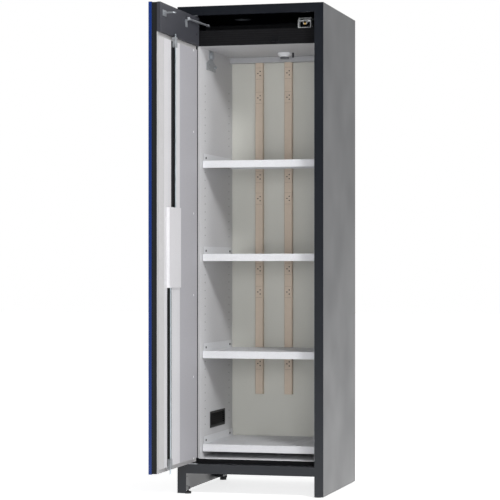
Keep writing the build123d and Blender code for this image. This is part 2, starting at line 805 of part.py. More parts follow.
def door_core():
    x = door_x - edge_recess - edge_band
    y = (front_y + sheet, front_y + rim_depth - liner_sheet)
    z = (door_bottom + edge_recess + edge_band, door_top - edge_recess - edge_band)
    core = block((-x, x), y, z)
    for seat in hinge_seats(0):
        core -= seat
    core -= stud_in(pinion_x, y, lock_z, over_flats(spindle_radius + hole_play))
    return core - stud_in(pinion_x, (y[0], front_y + cylinder_depth), lock_z - cylinder_drop,
                          cylinder_radius + cylinder_play, round_side_count)


def door_inner_liner():
    """White rim of the inner face with the sloping sides of the raised field."""
    face = Plane(origin=(0, front_y + rim_depth, 0), x_dir=(1, 0, 0), z_dir=(0, -1, 0))
    middle = ((rim_hinge - rim_free) / 2, (liner_top + liner_bottom) / 2)
    base = (2 * door_x - rim_free - rim_hinge, liner_top - liner_bottom - 2 * rim_end)
    rise = plateau_depth - rim_depth

    def frustum(shrink, low, high):
        """Sloping block; shrink draws it in by the sheet, low and high are heights over the rim."""
        ends = []
        for level in (low, high):
            run = 2 * (rim_slope * level / rise + shrink)
            ends.append(Pos(middle[0], middle[1], -level) * Rectangle(base[0] - run, base[1] - run))
        return face * loft(ends)

    face_y = front_y + plateau_depth
    rim = block((-door_x, door_x), (front_y + rim_depth - liner_sheet, front_y + rim_depth),
                (liner_bottom, liner_top))
    rim = fillet(rim.edges().filter_by(Axis.Z).group_by(Axis.Y)[-1], 1)
    pan = rim + frustum(0, 0, rise)
    pan -= frustum(liner_sheet, -liner_sheet - 1, rise + 1)
    for x, z in ((upper_rod_x, liner_top), (lower_rod_x, liner_bottom)):
        half = guide_half_width + guide_room
        pan -= block((x - half, x + half), (face_y - groove_depth, face_y + 1), (z - rim_end * 2, z + rim_end * 2))
    return pan


def raised_field():
    """X and Z limits of the opening left by the liner at the raised face."""
    draw = rim_slope + liner_sheet
    return ((-door_x + rim_hinge + draw, door_x - rim_free - draw),
            (liner_bottom + rim_end + draw, liner_top - rim_end - draw))


def door_board():
    """Grey board of the hinge half."""
    x, z = raised_field()
    return block((x[0], board_split), (front_y + plateau_depth - liner, front_y + plateau_depth), z)


def lock_profile(groove, z):
    """White folded cover of the lock half, with the groove of its rod."""
    x = raised_field()[0]
    face = front_y + plateau_depth
    floor = face - groove_depth
    path = [(x[1], face), (groove[1], face), (groove[1], floor), (groove[0], floor),
            (groove[0], face), (board_split, face)]
    return extrude_up(folded(path, liner_sheet), z)


def lock_profiles():
    z = raised_field()[1]
    return group([lock_profile(upper_groove, (lock_z + case_half_height, z[1])),
                  lock_profile(lower_groove, (z[0], lock_z - case_half_height))])


def door_top_cover():
    """Dark cover over the door's upper end, behind which the hook and the stay are fixed."""
    x = door_x - cover_inset
    y = (front_y + rim_depth - liner_sheet, band_y)
    z = (liner_top, door_top - cover_inset)
    cover = block((-x, x), y, z)
    cover = chamfer(cover.edges().group_by(Axis.Y)[-1], 1)
    return cover - block((-x + sheet, x - sheet), (y[0] - 1, y[1] - sheet), (z[0] + sheet, z[1] - sheet))


# --- Lock ------------------------------------------------------------------------------------------------
def pinion_outline():
    """Involute pinion seen from the door's inner side."""
    base_radius = pitch_radius * cos(radians(pressure_angle))
    tip_radius = pitch_radius + pinion_module
    root_radius = pitch_radius - root_depth
    half_tooth = (pi * pinion_module / 2 - backlash / 2) / (2 * pitch_radius)
    roll_pitch = sqrt((pitch_radius / base_radius) ** 2 - 1)
    half_base = half_tooth + roll_pitch - radians(pressure_angle)

    def flank(radius):
        """Half angle of the tooth at a radius."""
        if radius <= base_radius:
            return half_base
        roll = sqrt((radius / base_radius) ** 2 - 1)
        return half_base - (roll - atan2(roll, 1))

    radii = [root_radius] + [base_radius + (tip_radius - base_radius) * share for share in (0, 0.5, 1)]
    points = []
    for tooth in range(pinion_teeth):
        middle = 2 * pi * tooth / pinion_teeth
        for radius in radii:
            points.append((radius * cos(middle - flank(radius)), radius * sin(middle - flank(radius))))
        for radius in reversed(radii):
            points.append((radius * cos(middle + flank(radius)), radius * sin(middle + flank(radius))))
    return make_face(Polyline(*points, close=True))


def handle_spindle():
    """Shaft from the handle through the door, with the lock's pinion on its end."""
    plane = Plane(origin=(pinion_x, rod_y + gear_width / 2, lock_z), x_dir=(1, 0, 0), z_dir=(0, -1, 0))
    pinion = plane * extrude(pinion_outline(), gear_width)
    hub_y = (front_y + plateau_depth - groove_depth + 0.5, rod_y + gear_width / 2 + 1.5)
    shaft = rod_in(pinion_x, (front_y - escutcheon - handle_play, hub_y[1]), lock_z, spindle_radius)
    return pinion + shaft + stud_in(pinion_x, hub_y, lock_z, 2.2 * spindle_radius, round_side_count)


def rack(pitch_x, way, z):
    """Toothed bar; way is +1 where its teeth point to +X."""
    pitch = pi * pinion_module
    slope = sin(radians(pressure_angle)) / cos(radians(pressure_angle))
    half = pitch / 4 - backlash / 4
    tip = 0.9 * pinion_module
    back = pitch_x - way * (root_depth + rack_back)
    root = pitch_x - way * root_depth
    points = [(back, z[0]), (root, z[0])]
    # the pinion has a tooth on its horizontal line, so the bar has a gap at lock_z
    first = lock_z + (0.5 - int((lock_z - z[0]) / pitch)) * pitch
    middle = first
    while middle + pitch / 2 < z[1]:
        if middle - pitch / 2 > z[0]:
            points += [(root, middle - half - root_depth * slope), (pitch_x + way * tip, middle - half + tip * slope),
                       (pitch_x + way * tip, middle + half - tip * slope), (root, middle + half + root_depth * slope)]
        middle += pitch
    points += [(root, z[1]), (back, z[1])]
    plane = Plane(origin=(0, rod_y + gear_width / 2, 0), x_dir=(1, 0, 0), z_dir=(0, -1, 0))
    return plane * extrude(make_face(Polyline(*points, close=True)), gear_width)


def pointed_rod(x, z, tip_end):
    rod = stud_up(x, rod_y, z, rod_radius, rod_side_count)
    return chamfer(rod.edges().group_by(Axis.Z)[tip_end], rod_point)


def upper_rod():
    bar_top = lock_z + rack_reach
    bar = rack(upper_rack_x, 1, (lock_z - rack_reach, bar_top))
    return bar + pointed_rod(upper_rod_x, (bar_top - 6, upper_tip), -1)


def lower_rod():
    bar_low = lock_z - rack_reach
    bar = rack(lower_rack_x, -1, (bar_low, lock_z + rack_reach))
    return bar + pointed_rod(lower_rod_x, (lower_tip, bar_low + 6), 0)


def rod_guide(x, z):
    """Guide block in the groove round a rod, with two lugs towards the door's free edge."""
    floor = front_y + plateau_depth - groove_depth
    y = (floor, rod_y + rod_radius + 2.5)
    guide = block((x - guide_half_width, x + guide_half_width), y, z)
    guide = chamfer(guide.edges().filter_by(Axis.Z).group_by(Axis.Y)[-1], 3)
    for share in (0.2, 0.8):
        level = z[0] + share * (z[1] - z[0])
        lug = (level - 4, level + 4)
        guide += block((x, x + guide_half_width + 6), (rod_y + 2, y[1]), lug)
    return guide - stud_up(x, rod_y, (z[0] - 1, z[1] + 1), over_flats(rod_radius + rod_clearance, rod_side_count),
                           rod_side_count)


def rod_guides():
    return group([rod_guide(upper_rod_x, guide_upper), rod_guide(lower_rod_x, guide_lower)])


def lock_case():
    """Steel plate under the cover that carries the spindle and guides both racks."""
    floor = front_y + plateau_depth - groove_depth
    y = (floor - case_sheet, floor)
    z = (lock_z - case_half_height, lock_z + case_half_height)
    case = block((board_split + 1, raised_field()[0][1]), y, z)
    for x, level in ((upper_rod_x, lock_z + rack_reach + rod_travel + 12),
                     (lower_rod_x, lock_z - rack_reach - rod_travel - 12)):
        post = block((x - 8, x + 8), (floor, rod_y + rod_radius + 2), (level - 5, level + 5))
        case += post - stud_up(x, rod_y, (level - 6, level + 6),
                               over_flats(rod_radius + rod_clearance, rod_side_count), rod_side_count)
    return case - rod_in(pinion_x, (y[0] - 1, y[1] + 1), lock_z, spindle_radius + spindle_clearance)


def lock_case_cover():
    """White hood over the lock with a screwed flange on the free side."""
    face = front_y + plateau_depth
    z = (lock_z - case_half_height, lock_z + case_half_height)
    outline = [(case_right + case_flange, face), (case_right, face), (case_right - 4, face + case_proud),
               (case_left, face + case_proud), (case_left, face), (board_split, face)]
    hood = extrude_up(folded(outline, case_sheet), z)
    ends = make_face(Polyline((case_right, face), (case_right - 4, face + case_proud),
                              (case_left, face + case_proud), (case_left, face), close=True))
    for x, low in ((upper_rod_x, z[1] - case_sheet), (lower_rod_x, z[0])):
        wall = extrude_up(ends, (low, low + case_sheet))
        slot = block((x - rod_radius - 0.5, x + rod_radius + 0.5), (face - 1, rod_y + rod_radius + 0.5),
                     (low - 1, low + case_sheet + 1))
        hood += wall - slot
    for level in (z[0] + case_flange, z[1] - case_flange):
        hood += stud_in(case_right + case_flange / 2, (face, face + screw_head), level, screw_radius)
    return hood


def handle_plate():
    """Rounded escutcheon on the door's outer face."""
    plane = Plane(origin=(pinion_x, front_y, lock_z - cylinder_drop / 2), x_dir=(1, 0, 0), z_dir=(0, -1, 0))
    outline = Rot(0, 0, 90) * slot_outline(escutcheon_length - escutcheon_width, escutcheon_width / 2, 8)
    plate = plane * extrude(outline, escutcheon)
    plate -= rod_in(pinion_x, (front_y - escutcheon - 1, front_y + 1), lock_z, spindle_radius + spindle_clearance)
    return plate - stud_in(pinion_x, (front_y - escutcheon - 1, front_y + 1), lock_z - cylinder_drop,
                           cylinder_radius + cylinder_play, round_side_count)


def handle_lever():
    """Flat lever lying across the door, with its round hub."""
    near = front_y - escutcheon - handle_play
    far = front_y - handle_proud
    outline = slot_outline(handle_length - handle_width, handle_width / 2, 8)
    plane = Plane(origin=(pinion_x - handle_length / 2 + handle_width / 2, near - handle_gap, lock_z),
                  x_dir=(1, 0, 0), z_dir=(0, -1, 0))
    lever = plane * extrude(outline, near - handle_gap - far)
    lever = chamfer(lever.edges().group_by(Axis.Y)[0], handle_edge)
    return lever + stud_in(pinion_x, (far + handle_edge, near), lock_z, handle_hub_radius, round_side_count)


def lock_cylinder():
    z = lock_z - cylinder_drop
    y = (front_y - escutcheon - cylinder_proud, front_y + cylinder_depth)
    shell = stud_in(pinion_x, y, z, cylinder_radius, round_side_count)
    shell = chamfer(shell.edges().group_by(Axis.Y)[0], cylinder_edge)
    return shell - rod_in(pinion_x, (y[0] - 1, y[1] - 3), z, plug_radius + spindle_clearance)


def lock_plug():
    z = lock_z - cylinder_drop
    front = front_y - escutcheon - cylinder_proud
    plug = rod_in(pinion_x, (front, front_y + cylinder_depth - 3.2), z, plug_radius)
    return plug - block((pinion_x - keyway_width / 2, pinion_x + keyway_width / 2), (front - 1, front + keyway_depth),
                        (z - keyway_height / 2, z + keyway_height / 2))


def rod_keeper():
    """Angle on the top sealing strip whose hole takes the upper rod."""
    back = seal_y
    front = band_y + 1
    x = (upper_rod_x - keeper_half_width, upper_rod_x + keeper_half_width)
    keeper = block(x, (front, back), (keeper_z, keeper_z + keeper_sheet))
    keeper += block(x, (back - 2, back), (keeper_z, keeper_z + 22))
    return keeper - stud_up(upper_rod_x, rod_y, (keeper_z - 1, keeper_z + keeper_sheet + 1),
                            over_flats(rod_radius + keeper_clearance, rod_side_count), rod_side_count)


def door_screws():
    face = front_y + plateau_depth
    return group([stud_in(screw_x, (face, face + screw_head), level, screw_radius) for level in screw_levels])


# --- Hold-open stay and latch -----------------------------------------------------------------------------
stay_pivot = (pivot_x + stay_reach, pivot_y + stay_offset)
stay_open = (pivot_x + stay_offset, pivot_y - stay_reach)
stay_length = hypot(stay_end_x - stay_open[0], stay_end_y - stay_open[1])
stay_angle_open = atan2(stay_end_y - stay_open[1], stay_end_x - stay_open[0])
stay_angle_shut = asin((stay_end_y - stay_pivot[1]) / stay_length)
stay_turn = degrees(stay_angle_shut - stay_angle_open) - 90
stay_ratio = stay_turn / 90


def runner_path():
    """Places of the runner while the door swings from open to shut."""
    places = []
    for step in range(path_step_count + 1):
        swing = pi / 2 * step / path_step_count
        x = pivot_x + stay_offset * cos(swing) + stay_reach * sin(swing)
        y = pivot_y - stay_reach * cos(swing) + stay_offset * sin(swing)
        way = stay_angle_open + swing * (1 + stay_ratio)
        places.append((x + stay_length * cos(way), y + stay_length * sin(way)))
    return places


def stay_bracket():
    """Angle on the door's top cover with the stud of the stay."""
    x = (stay_pivot[0] - 11, stay_pivot[0] + 11)
    low = stay_z - 1 - bracket_sheet
    bracket = block(x, (band_y, stay_pivot[1] + 9), (low, low + bracket_sheet))
    bracket += block(x, (band_y, band_y + bracket_sheet), (low - bracket_drop, low + bracket_sheet))
    bracket += rod_up(*stay_pivot, (low, stay_z + stay_sheet + 2), stay_stud_radius)
    return bracket + stud_up(*stay_pivot, (stay_z + stay_sheet + 0.4, stay_z + stay_sheet + 4), stay_head_radius,
                             round_side_count)


def stay_arm():
    """Flat link from the door to the rail, drawn with the door open; its runner drops into the rail."""
    middle = ((stay_open[0] + stay_end_x) / 2, (stay_open[1] + stay_end_y) / 2)
    outline = slot_outline(stay_length, stay_half_width)
    arm = Pos(*middle, stay_z) * Rot(0, 0, degrees(stay_angle_open)) * extrude(outline, stay_sheet)
    arm -= rod_up(*stay_open, (stay_z - 1, stay_z + stay_sheet + 1), stay_stud_radius + pin_clearance)
    return arm + stud_up(stay_end_x, stay_end_y, (carcass_top + rail_sheet + 1, stay_z + stay_sheet + 4),
                         runner_radius, round_side_count)


def stay_rail():
    """Channel on top of the carcass in which the stay's runner travels."""
    xs, ys = zip(*runner_path())
    room = runner_radius + rail_clearance
    y = (min(ys) - room, max(ys) + room)
    x = (min(xs) - room - rail_sheet, max(xs) + room + rail_sheet)
    z = (carcass_top, carcass_top + rail_height)
    section = folded([(y[0] - rail_sheet, z[1]), (y[0] - rail_sheet, z[0]), (y[1] + rail_sheet, z[0]),
                      (y[1] + rail_sheet, z[1])], rail_sheet)
    return extrude_across(section, x)


def latch_body():
    """Bracket on the carcass: base, two cheeks and the pin of the sprung lever."""
    y = (latch_roller_y + 2, latch_pin_y + 12)
    body = block((latch_left, latch_right), (seal_y + 1, y[1]), (carcass_top, carcass_top + latch_sheet))
    for x in (latch_left, latch_right - latch_sheet):
        cheek = block((x, x + latch_sheet), y, (carcass_top, latch_top))
        body += chamfer(cheek.edges().filter_by(Axis.X).group_by(Axis.Z)[-1].sort_by(Axis.Y)[0], 12)
    body += block((latch_left, latch_right), (latch_pin_y + 2, y[1]), (latch_top - latch_sheet, latch_top))
    return body + rod_across((latch_left, latch_right), latch_pin_y, latch_pin_z, latch_pin_radius)


def latch_lever():
    """Sprung fork that presses its roller down on the door's hook."""
    run = hypot(latch_roller_y - latch_pin_y, latch_roller_z - latch_pin_z)
    tilt = degrees(atan2(latch_roller_z - latch_pin_z, latch_roller_y - latch_pin_y))
    plane = Plane(origin=(0, 0, 0), x_dir=(0, 1, 0), z_dir=(1, 0, 0))
    middle = Pos((latch_pin_y + latch_roller_y) / 2, (latch_pin_z + latch_roller_z) / 2)
    outline = middle * Rot(0, 0, tilt) * slot_outline(run, latch_hub_radius, 4)
    half = latch_roller_width / 2 + 0.5
    cheeks = []
    for x in (hook_x - half - latch_sheet, hook_x + half):
        cheeks.append(Pos(x, 0, 0) * (plane * extrude(outline, latch_sheet)))
    reach = half + latch_sheet
    hub = reach + latch_hub_reach
    fork = stud_across((hook_x - reach, hook_x + reach), latch_roller_y, latch_roller_z, roller_pin_radius)
    fork += stud_across((hook_x - hub, hook_x + hub), latch_pin_y, latch_pin_z, latch_hub_radius, round_side_count)
    fork += cheeks[0] + cheeks[1]
    return fork - rod_across((hook_x - hub - 1, hook_x + hub + 1), latch_pin_y, latch_pin_z,
                             latch_pin_radius + pin_clearance)


def latch_roller():
    half = latch_roller_width / 2
    roller = stud_across((hook_x - half, hook_x + half), latch_roller_y, latch_roller_z, latch_roller_radius,
                         round_side_count)
    return roller - stud_across((hook_x - half - 1, hook_x + half + 1), latch_roller_y, latch_roller_z,
                                roller_pin_radius + pin_clearance)


def door_hook():
    """Strike plate on the door that slides under the latch's roller."""
    x = (hook_x - hook_width / 2, hook_x + hook_width / 2)
    plate = block(x, (band_y, band_y + hook_reach), (hook_z, hook_z + hook_sheet))
    plate = chamfer(plate.edges().filter_by(Axis.Z).group_by(Axis.Y)[-1], hook_corner)
    plate += block((x[0] - 8, x[1] + 8), (band_y, band_y + 2.5), (hook_z - 10, hook_z + hook_sheet + 8))
    return plate


# --- Assembly ------------------------------------------------------------------------------------------------
parts["side_panel_right"] = side_panel()
parts["side_panel_left"] = mirrored(parts["side_panel_right"])
parts["roof_panel"] = roof_panel()
parts["rear_panel"] = rear_panel()
parts["plinth_beam"] = plinth_beam()
parts["base_pan"] = base_pan()
parts["foot_brackets"] = group([foot_bracket(x, y) for x, y in foot_places().values()])
for place, (foot_x, foot_y) in foot_places().items():
    parts["foot_" + place] = levelling_foot(foot_x, foot_y)
parts["insulation_boards"] = insulation_boards()
parts["liner_left"] = liner_left()
parts["liner_right"] = liner_right()
parts["liner_rear"] = liner_rear()
parts["liner_ceiling"] = liner_ceiling()
parts["liner_floor"] = liner_floor()
parts["fire_seals"] = seals()
parts["vent_grille"] = vent_grille()
for number, level in enumerate(shelf_levels, 1):
    parts[f"shelf_{number}"] = shelf(level)
parts["shelf_pegs"] = shelf_pegs()
parts["socket_strip_left"] = socket_strip(strip_centres[0])
parts["socket_strip_right"] = socket_strip(strip_centres[1])
parts["cable_duct"] = cable_duct()
parts["smoke_detector_base"] = smoke_detector_base()
parts["smoke_detector_chamber"] = smoke_detector_chamber()
parts["damper_plate"] = damper_plate()
parts["exhaust_spigot"] = exhaust_spigot()
parts["cable_gland"] = cable_gland()
parts["hinge_brackets"] = hinge_brackets()
parts["rod_keeper"] = rod_keeper()
parts["stay_rail"] = stay_rail()
parts["stay_arm"] = stay_arm()
parts["latch_body"] = latch_body()
parts["latch_lever"] = latch_lever()
parts["latch_roller"] = latch_roller()

door_parts = {
    "door_outer_panel": door_outer_panel(),
    "door_edge_band": door_edge_band(),
    "door_core": door_core(),
    "door_inner_liner": door_inner_liner(),
    "door_board": door_board(),
    "lock_profiles": lock_profiles(),
    "door_top_cover": door_top_cover(),
    "hinge_blocks": hinge_blocks(),
    "lock_case": lock_case(),
    "lock_case_cover": lock_case_cover(),
    "handle_spindle": handle_spindle(),
    "upper_rod": upper_rod(),
    "lower_rod": lower_rod(),
    "rod_guides": rod_guides(),
    "handle_plate": handle_plate(),
    "handle_lever": handle_lever(),
    "lock_cylinder": lock_cylinder(),
    "lock_plug": lock_plug(),
    "door_screws": door_screws(),
    "stay_bracket": stay_bracket(),
    "door_hook": door_hook(),
}
for name, piece in door_parts.items():
    parts[name] = opened(piece)

os.makedirs("parts", exist_ok=True)
for name, piece in parts.items():
    export_step(Pos(0, -origin_y, 0) * piece, f"parts/{name}.step")
print(len(parts), "sub-parts; stay ratio", round(stay_ratio, 5), "rod travel", round(rod_travel, 3))
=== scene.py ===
# %% [markdown]
# # Dressing a battery charging cabinet
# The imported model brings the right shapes, sizes and joints. This lesson gives those
# shapes their real finishes and adds the small pieces that are too fine for a solid
# model. Everything is in metres and in the model's own frame: X to the right, Y into
# the cabinet, Z up.

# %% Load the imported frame
from math import radians

import bmesh
import bpy
import numpy as np
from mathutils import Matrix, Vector


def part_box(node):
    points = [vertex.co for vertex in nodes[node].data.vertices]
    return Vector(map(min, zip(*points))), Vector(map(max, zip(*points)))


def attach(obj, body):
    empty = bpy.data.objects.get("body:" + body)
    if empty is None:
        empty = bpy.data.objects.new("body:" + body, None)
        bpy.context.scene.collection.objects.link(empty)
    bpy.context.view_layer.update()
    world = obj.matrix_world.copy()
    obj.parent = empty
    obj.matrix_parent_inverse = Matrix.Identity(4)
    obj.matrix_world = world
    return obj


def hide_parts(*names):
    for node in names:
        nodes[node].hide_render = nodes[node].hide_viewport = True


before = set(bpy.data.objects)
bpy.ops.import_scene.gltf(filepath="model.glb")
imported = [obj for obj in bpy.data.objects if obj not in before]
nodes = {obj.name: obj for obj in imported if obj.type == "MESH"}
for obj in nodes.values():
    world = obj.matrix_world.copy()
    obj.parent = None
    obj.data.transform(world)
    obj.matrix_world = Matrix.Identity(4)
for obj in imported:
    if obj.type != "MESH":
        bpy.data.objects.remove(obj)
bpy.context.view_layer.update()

# %% [markdown]
# ## Where things are
# A piece takes its place from the boxes of the model's nodes, so it stays right if a
# size changes. The inner faces of the lined space are read once, here.

# %% Read the places that later cells need
mm = 0.001


def box(name):
    """Lowest and highest corner of a node as two arrays."""
    low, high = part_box(name)
    return np.array(low), np.array(high)


wall_left = box("liner_left")[1][0]
wall_right = box("liner_right")[0][0]
floor_top = box("liner_floor")[1][2]
ceiling = box("liner_ceiling")[0][2]
peg_low, peg_high = box("shelf_pegs")
print("inside", round(wall_right - wall_left, 4), "wide,", round(ceiling - floor_top, 4), "high")

# %% [markdown]
# ## The camera
# The cabinet is seen from the front and a little from the right, from about half its
# height and from far away, so its uprights stay upright. A level camera with a small
# upward shift does that; tilting it would make the posts lean together.

# %% Camera
camera = bpy.data.objects.new("studio_camera", bpy.data.cameras.new("studio_camera"))
bpy.context.scene.collection.objects.link(camera)
camera.location = (2.005, -7.647, 0.9125)
camera.rotation_euler = (radians(90), 0, 0.258007)
camera.data.lens = 142.43
camera.data.sensor_width = 36
camera.data.shift_y = 0.0332
camera.data.clip_end = 60
bpy.context.scene.camera = camera
print("camera at", [round(v, 3) for v in camera.location])

# %% [markdown]
# ## Colours and nodes
# A paint maker's hex value is an sRGB value, and shaders work in linear light, so one
# function turns the one into the other. Another small function adds a node, sets its
# properties and joins its sockets, which keeps each material readable as a list.

# %% Colour and node helpers
def linear(code):
    """sRGB hex to linear: v/12.92 below 0.04045, else ((v + 0.055)/1.055)^2.4."""
    values = np.array([int(code[i:i + 2], 16) for i in (1, 3, 5)]) / 255
    values = np.where(values <= 0.04045, values / 12.92, ((values + 0.055) / 1.055) ** 2.4)
    return (*values.tolist(), 1.0)


def add(tree, kind, settings=None, **sockets):
    """Adds one node; a socket, called by name or as _number, gets a value or a link."""
    made = tree.nodes.new(kind)
    for name, value in (settings or {}).items():
        setattr(made, name, value)
    for name, value in sockets.items():
        place = int(name[1:]) if name[1:].isdigit() else name.replace("_", " ")
        socket = made.inputs[place]
        if isinstance(value, bpy.types.NodeSocket):
            tree.links.new(value, socket)
        else:
            socket.default_value = value
    return made


def start(name):
    """New material with its shader and the object coordinates."""
    material = bpy.data.materials.new(name)
    material.use_nodes = True
    tree = material.node_tree
    shader = tree.nodes["Principled BSDF"]
    place = add(tree, "ShaderNodeTexCoord").outputs["Object"]
    return material, tree, shader, place


print("mid grey in linear light", [round(v, 3) for v in linear("#808080")[:3]])

# %% [markdown]
# ## Powder coat
# Sheet steel for cabinets is sprayed with dry paint powder and baked. The melt never
# quite levels out, which leaves the soft waves known as orange peel, some 2 mm apart,
# and the tone drifts a little over a large panel. A flat colour would look like plastic
# film. Noise at three sizes gives all of it: a wide one as a drift of tone and of
# roughness, one of 1.4 mm as the fleck of textured paint, and the peel as a bump.

# %% Powder coat
def powder_coat(name, code, roughness, peel=2.0, depth=0.05, drift=0.06, gloss=0.5):
    """Colour = tint x (1 - drift .. 1 + drift) x fleck; normal = noise of the peel's size in mm."""
    material, tree, shader, place = start(name)
    wide = add(tree, "ShaderNodeTexNoise", Vector=place, Scale=3.2, Detail=2.0)
    speck = add(tree, "ShaderNodeTexNoise", Vector=place, Scale=1 / (1.4 * mm), Detail=1.0)
    tint = np.array(linear(code))
    shade = add(tree, "ShaderNodeMix", {"data_type": "RGBA"}, Factor=wide.outputs["Fac"],
                _6=(*(tint[:3] * (1 - drift)), 1), _7=(*np.minimum(tint[:3] * (1 + drift), 1), 1))
    fleck = add(tree, "ShaderNodeMapRange", Value=speck.outputs["Fac"], From_Min=0.3, From_Max=0.7,
                To_Min=0.93, To_Max=1.07)
    paint = add(tree, "ShaderNodeVectorMath", {"operation": "SCALE"}, _0=shade.outputs[2],
                Scale=fleck.outputs[0])
    tree.links.new(paint.outputs[0], shader.inputs["Base Color"])
    sheen = add(tree, "ShaderNodeMapRange", Value=wide.outputs["Fac"], From_Min=0.3, From_Max=0.7,
                To_Min=roughness * 0.9, To_Max=min(1.0, roughness * 1.12))
    tree.links.new(sheen.outputs[0], shader.inputs["Roughness"])
    waves = add(tree, "ShaderNodeTexNoise", Vector=place, Scale=1 / (peel * mm), Detail=1.5)
    bump = add(tree, "ShaderNodeBump", Height=waves.outputs["Fac"], Strength=0.35,
               Distance=depth * mm)
    tree.links.new(bump.outputs[0], shader.inputs["Normal"])
    shader.inputs["Specular IOR Level"].default_value = gloss
    return material


print("powder coat ready")

# %% [markdown]
# ## The paints of this cabinet
# The casing is anthracite with a fine texture. The door's outer skin is blue and
# glossier. The lining is a light grey satin, and the shelves are nearly white. They are
# one recipe with different tints and gloss, as in the paint shop.

# %% Paints
casing_paint = powder_coat("casing_paint", "#171a20", 0.34)
cover_paint = powder_coat("cover_paint", "#3a3b41", 0.5)
door_blue = powder_coat("door_blue", "#143074", 0.34)
keeper_black = powder_coat("keeper_black", "#141517", 0.6, gloss=0.2)
wall_paint = powder_coat("wall_paint", "#cbcbcd", 0.5)
# Same paint as the walls; this copy is a touch lighter, painted light that makes up for the rear
# wall's light.
rear_paint_lightened = powder_coat("rear_paint_lightened", "#d0d0c9", 0.5)
floor_paint = powder_coat("floor_paint", "#e2e3e5", 0.45, drift=0.03)
shelf_paint = powder_coat("shelf_paint", "#dadbde", 0.45, drift=0.02)
# The door liner's rim is light; this paint is set darker, with the shade on its slope painted in.
rim_paint_with_shade = powder_coat("rim_paint_with_shade", "#adacad", 0.5, drift=0.02)
board_paint = powder_coat("board_paint", "#a6a5aa", 0.5)
profile_paint = powder_coat("profile_paint", "#cfced1", 0.5, drift=0.02)
screw_paint = powder_coat("screw_paint", "#f0f0f2", 0.3, drift=0.02)
print("paints", len(bpy.data.materials))

# %% [markdown]
# ## Zinc, steel, nickel and brass
# Fittings are plated: a thin bright metal over drawn or pressed steel. The drawing
# leaves fine lines along the part, and the bath leaves cloudy patches. A metal has no
# colour of its own beyond its reflection, so the patterns work mainly on roughness. A
# passivated zinc coat is milky and scatters part of the light, so it counts as metal
# only in part.

# %% Plated metal
def plated(name, code, roughness, stretch=(1, 1, 1), grain=0.8, cloud=14.0, depth=0.01, metal=1.0):
    """Metal: roughness by cloudy noise, tint by lines of stretched noise, grain in mm."""
    material, tree, shader, place = start(name)
    shader.inputs["Metallic"].default_value = metal
    drawn = add(tree, "ShaderNodeMapping", Vector=place, Scale=stretch)
    lines = add(tree, "ShaderNodeTexNoise", Vector=drawn.outputs[0], Scale=1 / (grain * mm),
                Detail=2.0)
    patch = add(tree, "ShaderNodeTexNoise", Vector=place, Scale=1 / (cloud * mm), Detail=3.0)
    tint = np.array(linear(code))
    shade = add(tree, "ShaderNodeMix", {"data_type": "RGBA"}, Factor=lines.outputs["Fac"],
                _6=(*(tint[:3] * 0.82), 1), _7=(*np.minimum(tint[:3] * 1.15, 1), 1))
    tree.links.new(shade.outputs[2], shader.inputs["Base Color"])
    dull = add(tree, "ShaderNodeMapRange", Value=patch.outputs["Fac"], From_Min=0.3, From_Max=0.7,
               To_Min=roughness * 0.75, To_Max=roughness * 1.3)
    tree.links.new(dull.outputs[0], shader.inputs["Roughness"])
    bump = add(tree, "ShaderNodeBump", Height=lines.outputs["Fac"], Strength=0.3,
               Distance=depth * mm)
    tree.links.new(bump.outputs[0], shader.inputs["Normal"])
    return material


zinc_plate = plated("zinc_plate", "#b4b8bd", 0.36, metal=0.6)
dark_zinc = plated("dark_zinc", "#3a3b3f", 0.42)
bright_zinc = plated("bright_zinc", "#e6e8ea", 0.3, metal=0.4)
drawn_steel = plated("drawn_steel", "#ccd6dc", 0.42, stretch=(1, 1, 0.04))
machined_steel = plated("machined_steel", "#8b8e92", 0.3)
nickel_plate = plated("nickel_plate", "#c4bfb2", 0.2)
brass = plated("brass", "#c9a765", 0.22)
black_zinc = plated("black_zinc", "#232426", 0.5)
print("metals ready")

# %% [markdown]
# ## Galvanised sheet
# The collar on the roof is hot-dip galvanised. The zinc freezes into flat crystals a
# centimetre or so wide, the spangle, each of which catches the light by itself. A
# Voronoi pattern has such cells, and one random value per cell drives the tint.

# %% Galvanised sheet
def galvanised(name, code, spangle=9.0):
    """Cells of the spangle's size in mm; tint and roughness change from cell to cell."""
    material, tree, shader, place = start(name)
    shader.inputs["Metallic"].default_value = 1.0
    cells = add(tree, "ShaderNodeTexVoronoi", Vector=place, Scale=1 / (spangle * mm))
    value = add(tree, "ShaderNodeSeparateColor", Color=cells.outputs["Color"])
    tint = np.array(linear(code))
    shade = add(tree, "ShaderNodeMix", {"data_type": "RGBA"}, Factor=value.outputs[0],
                _6=(*(tint[:3] * 0.72), 1), _7=(*np.minimum(tint[:3] * 1.15, 1), 1))
    tree.links.new(shade.outputs[2], shader.inputs["Base Color"])
    dull = add(tree, "ShaderNodeMapRange", Value=value.outputs[1], To_Min=0.28, To_Max=0.5)
    tree.links.new(dull.outputs[0], shader.inputs["Roughness"])
    return material


spigot_zinc = galvanised("galvanised_sheet", "#a4a8ac")
print("galvanised sheet ready")
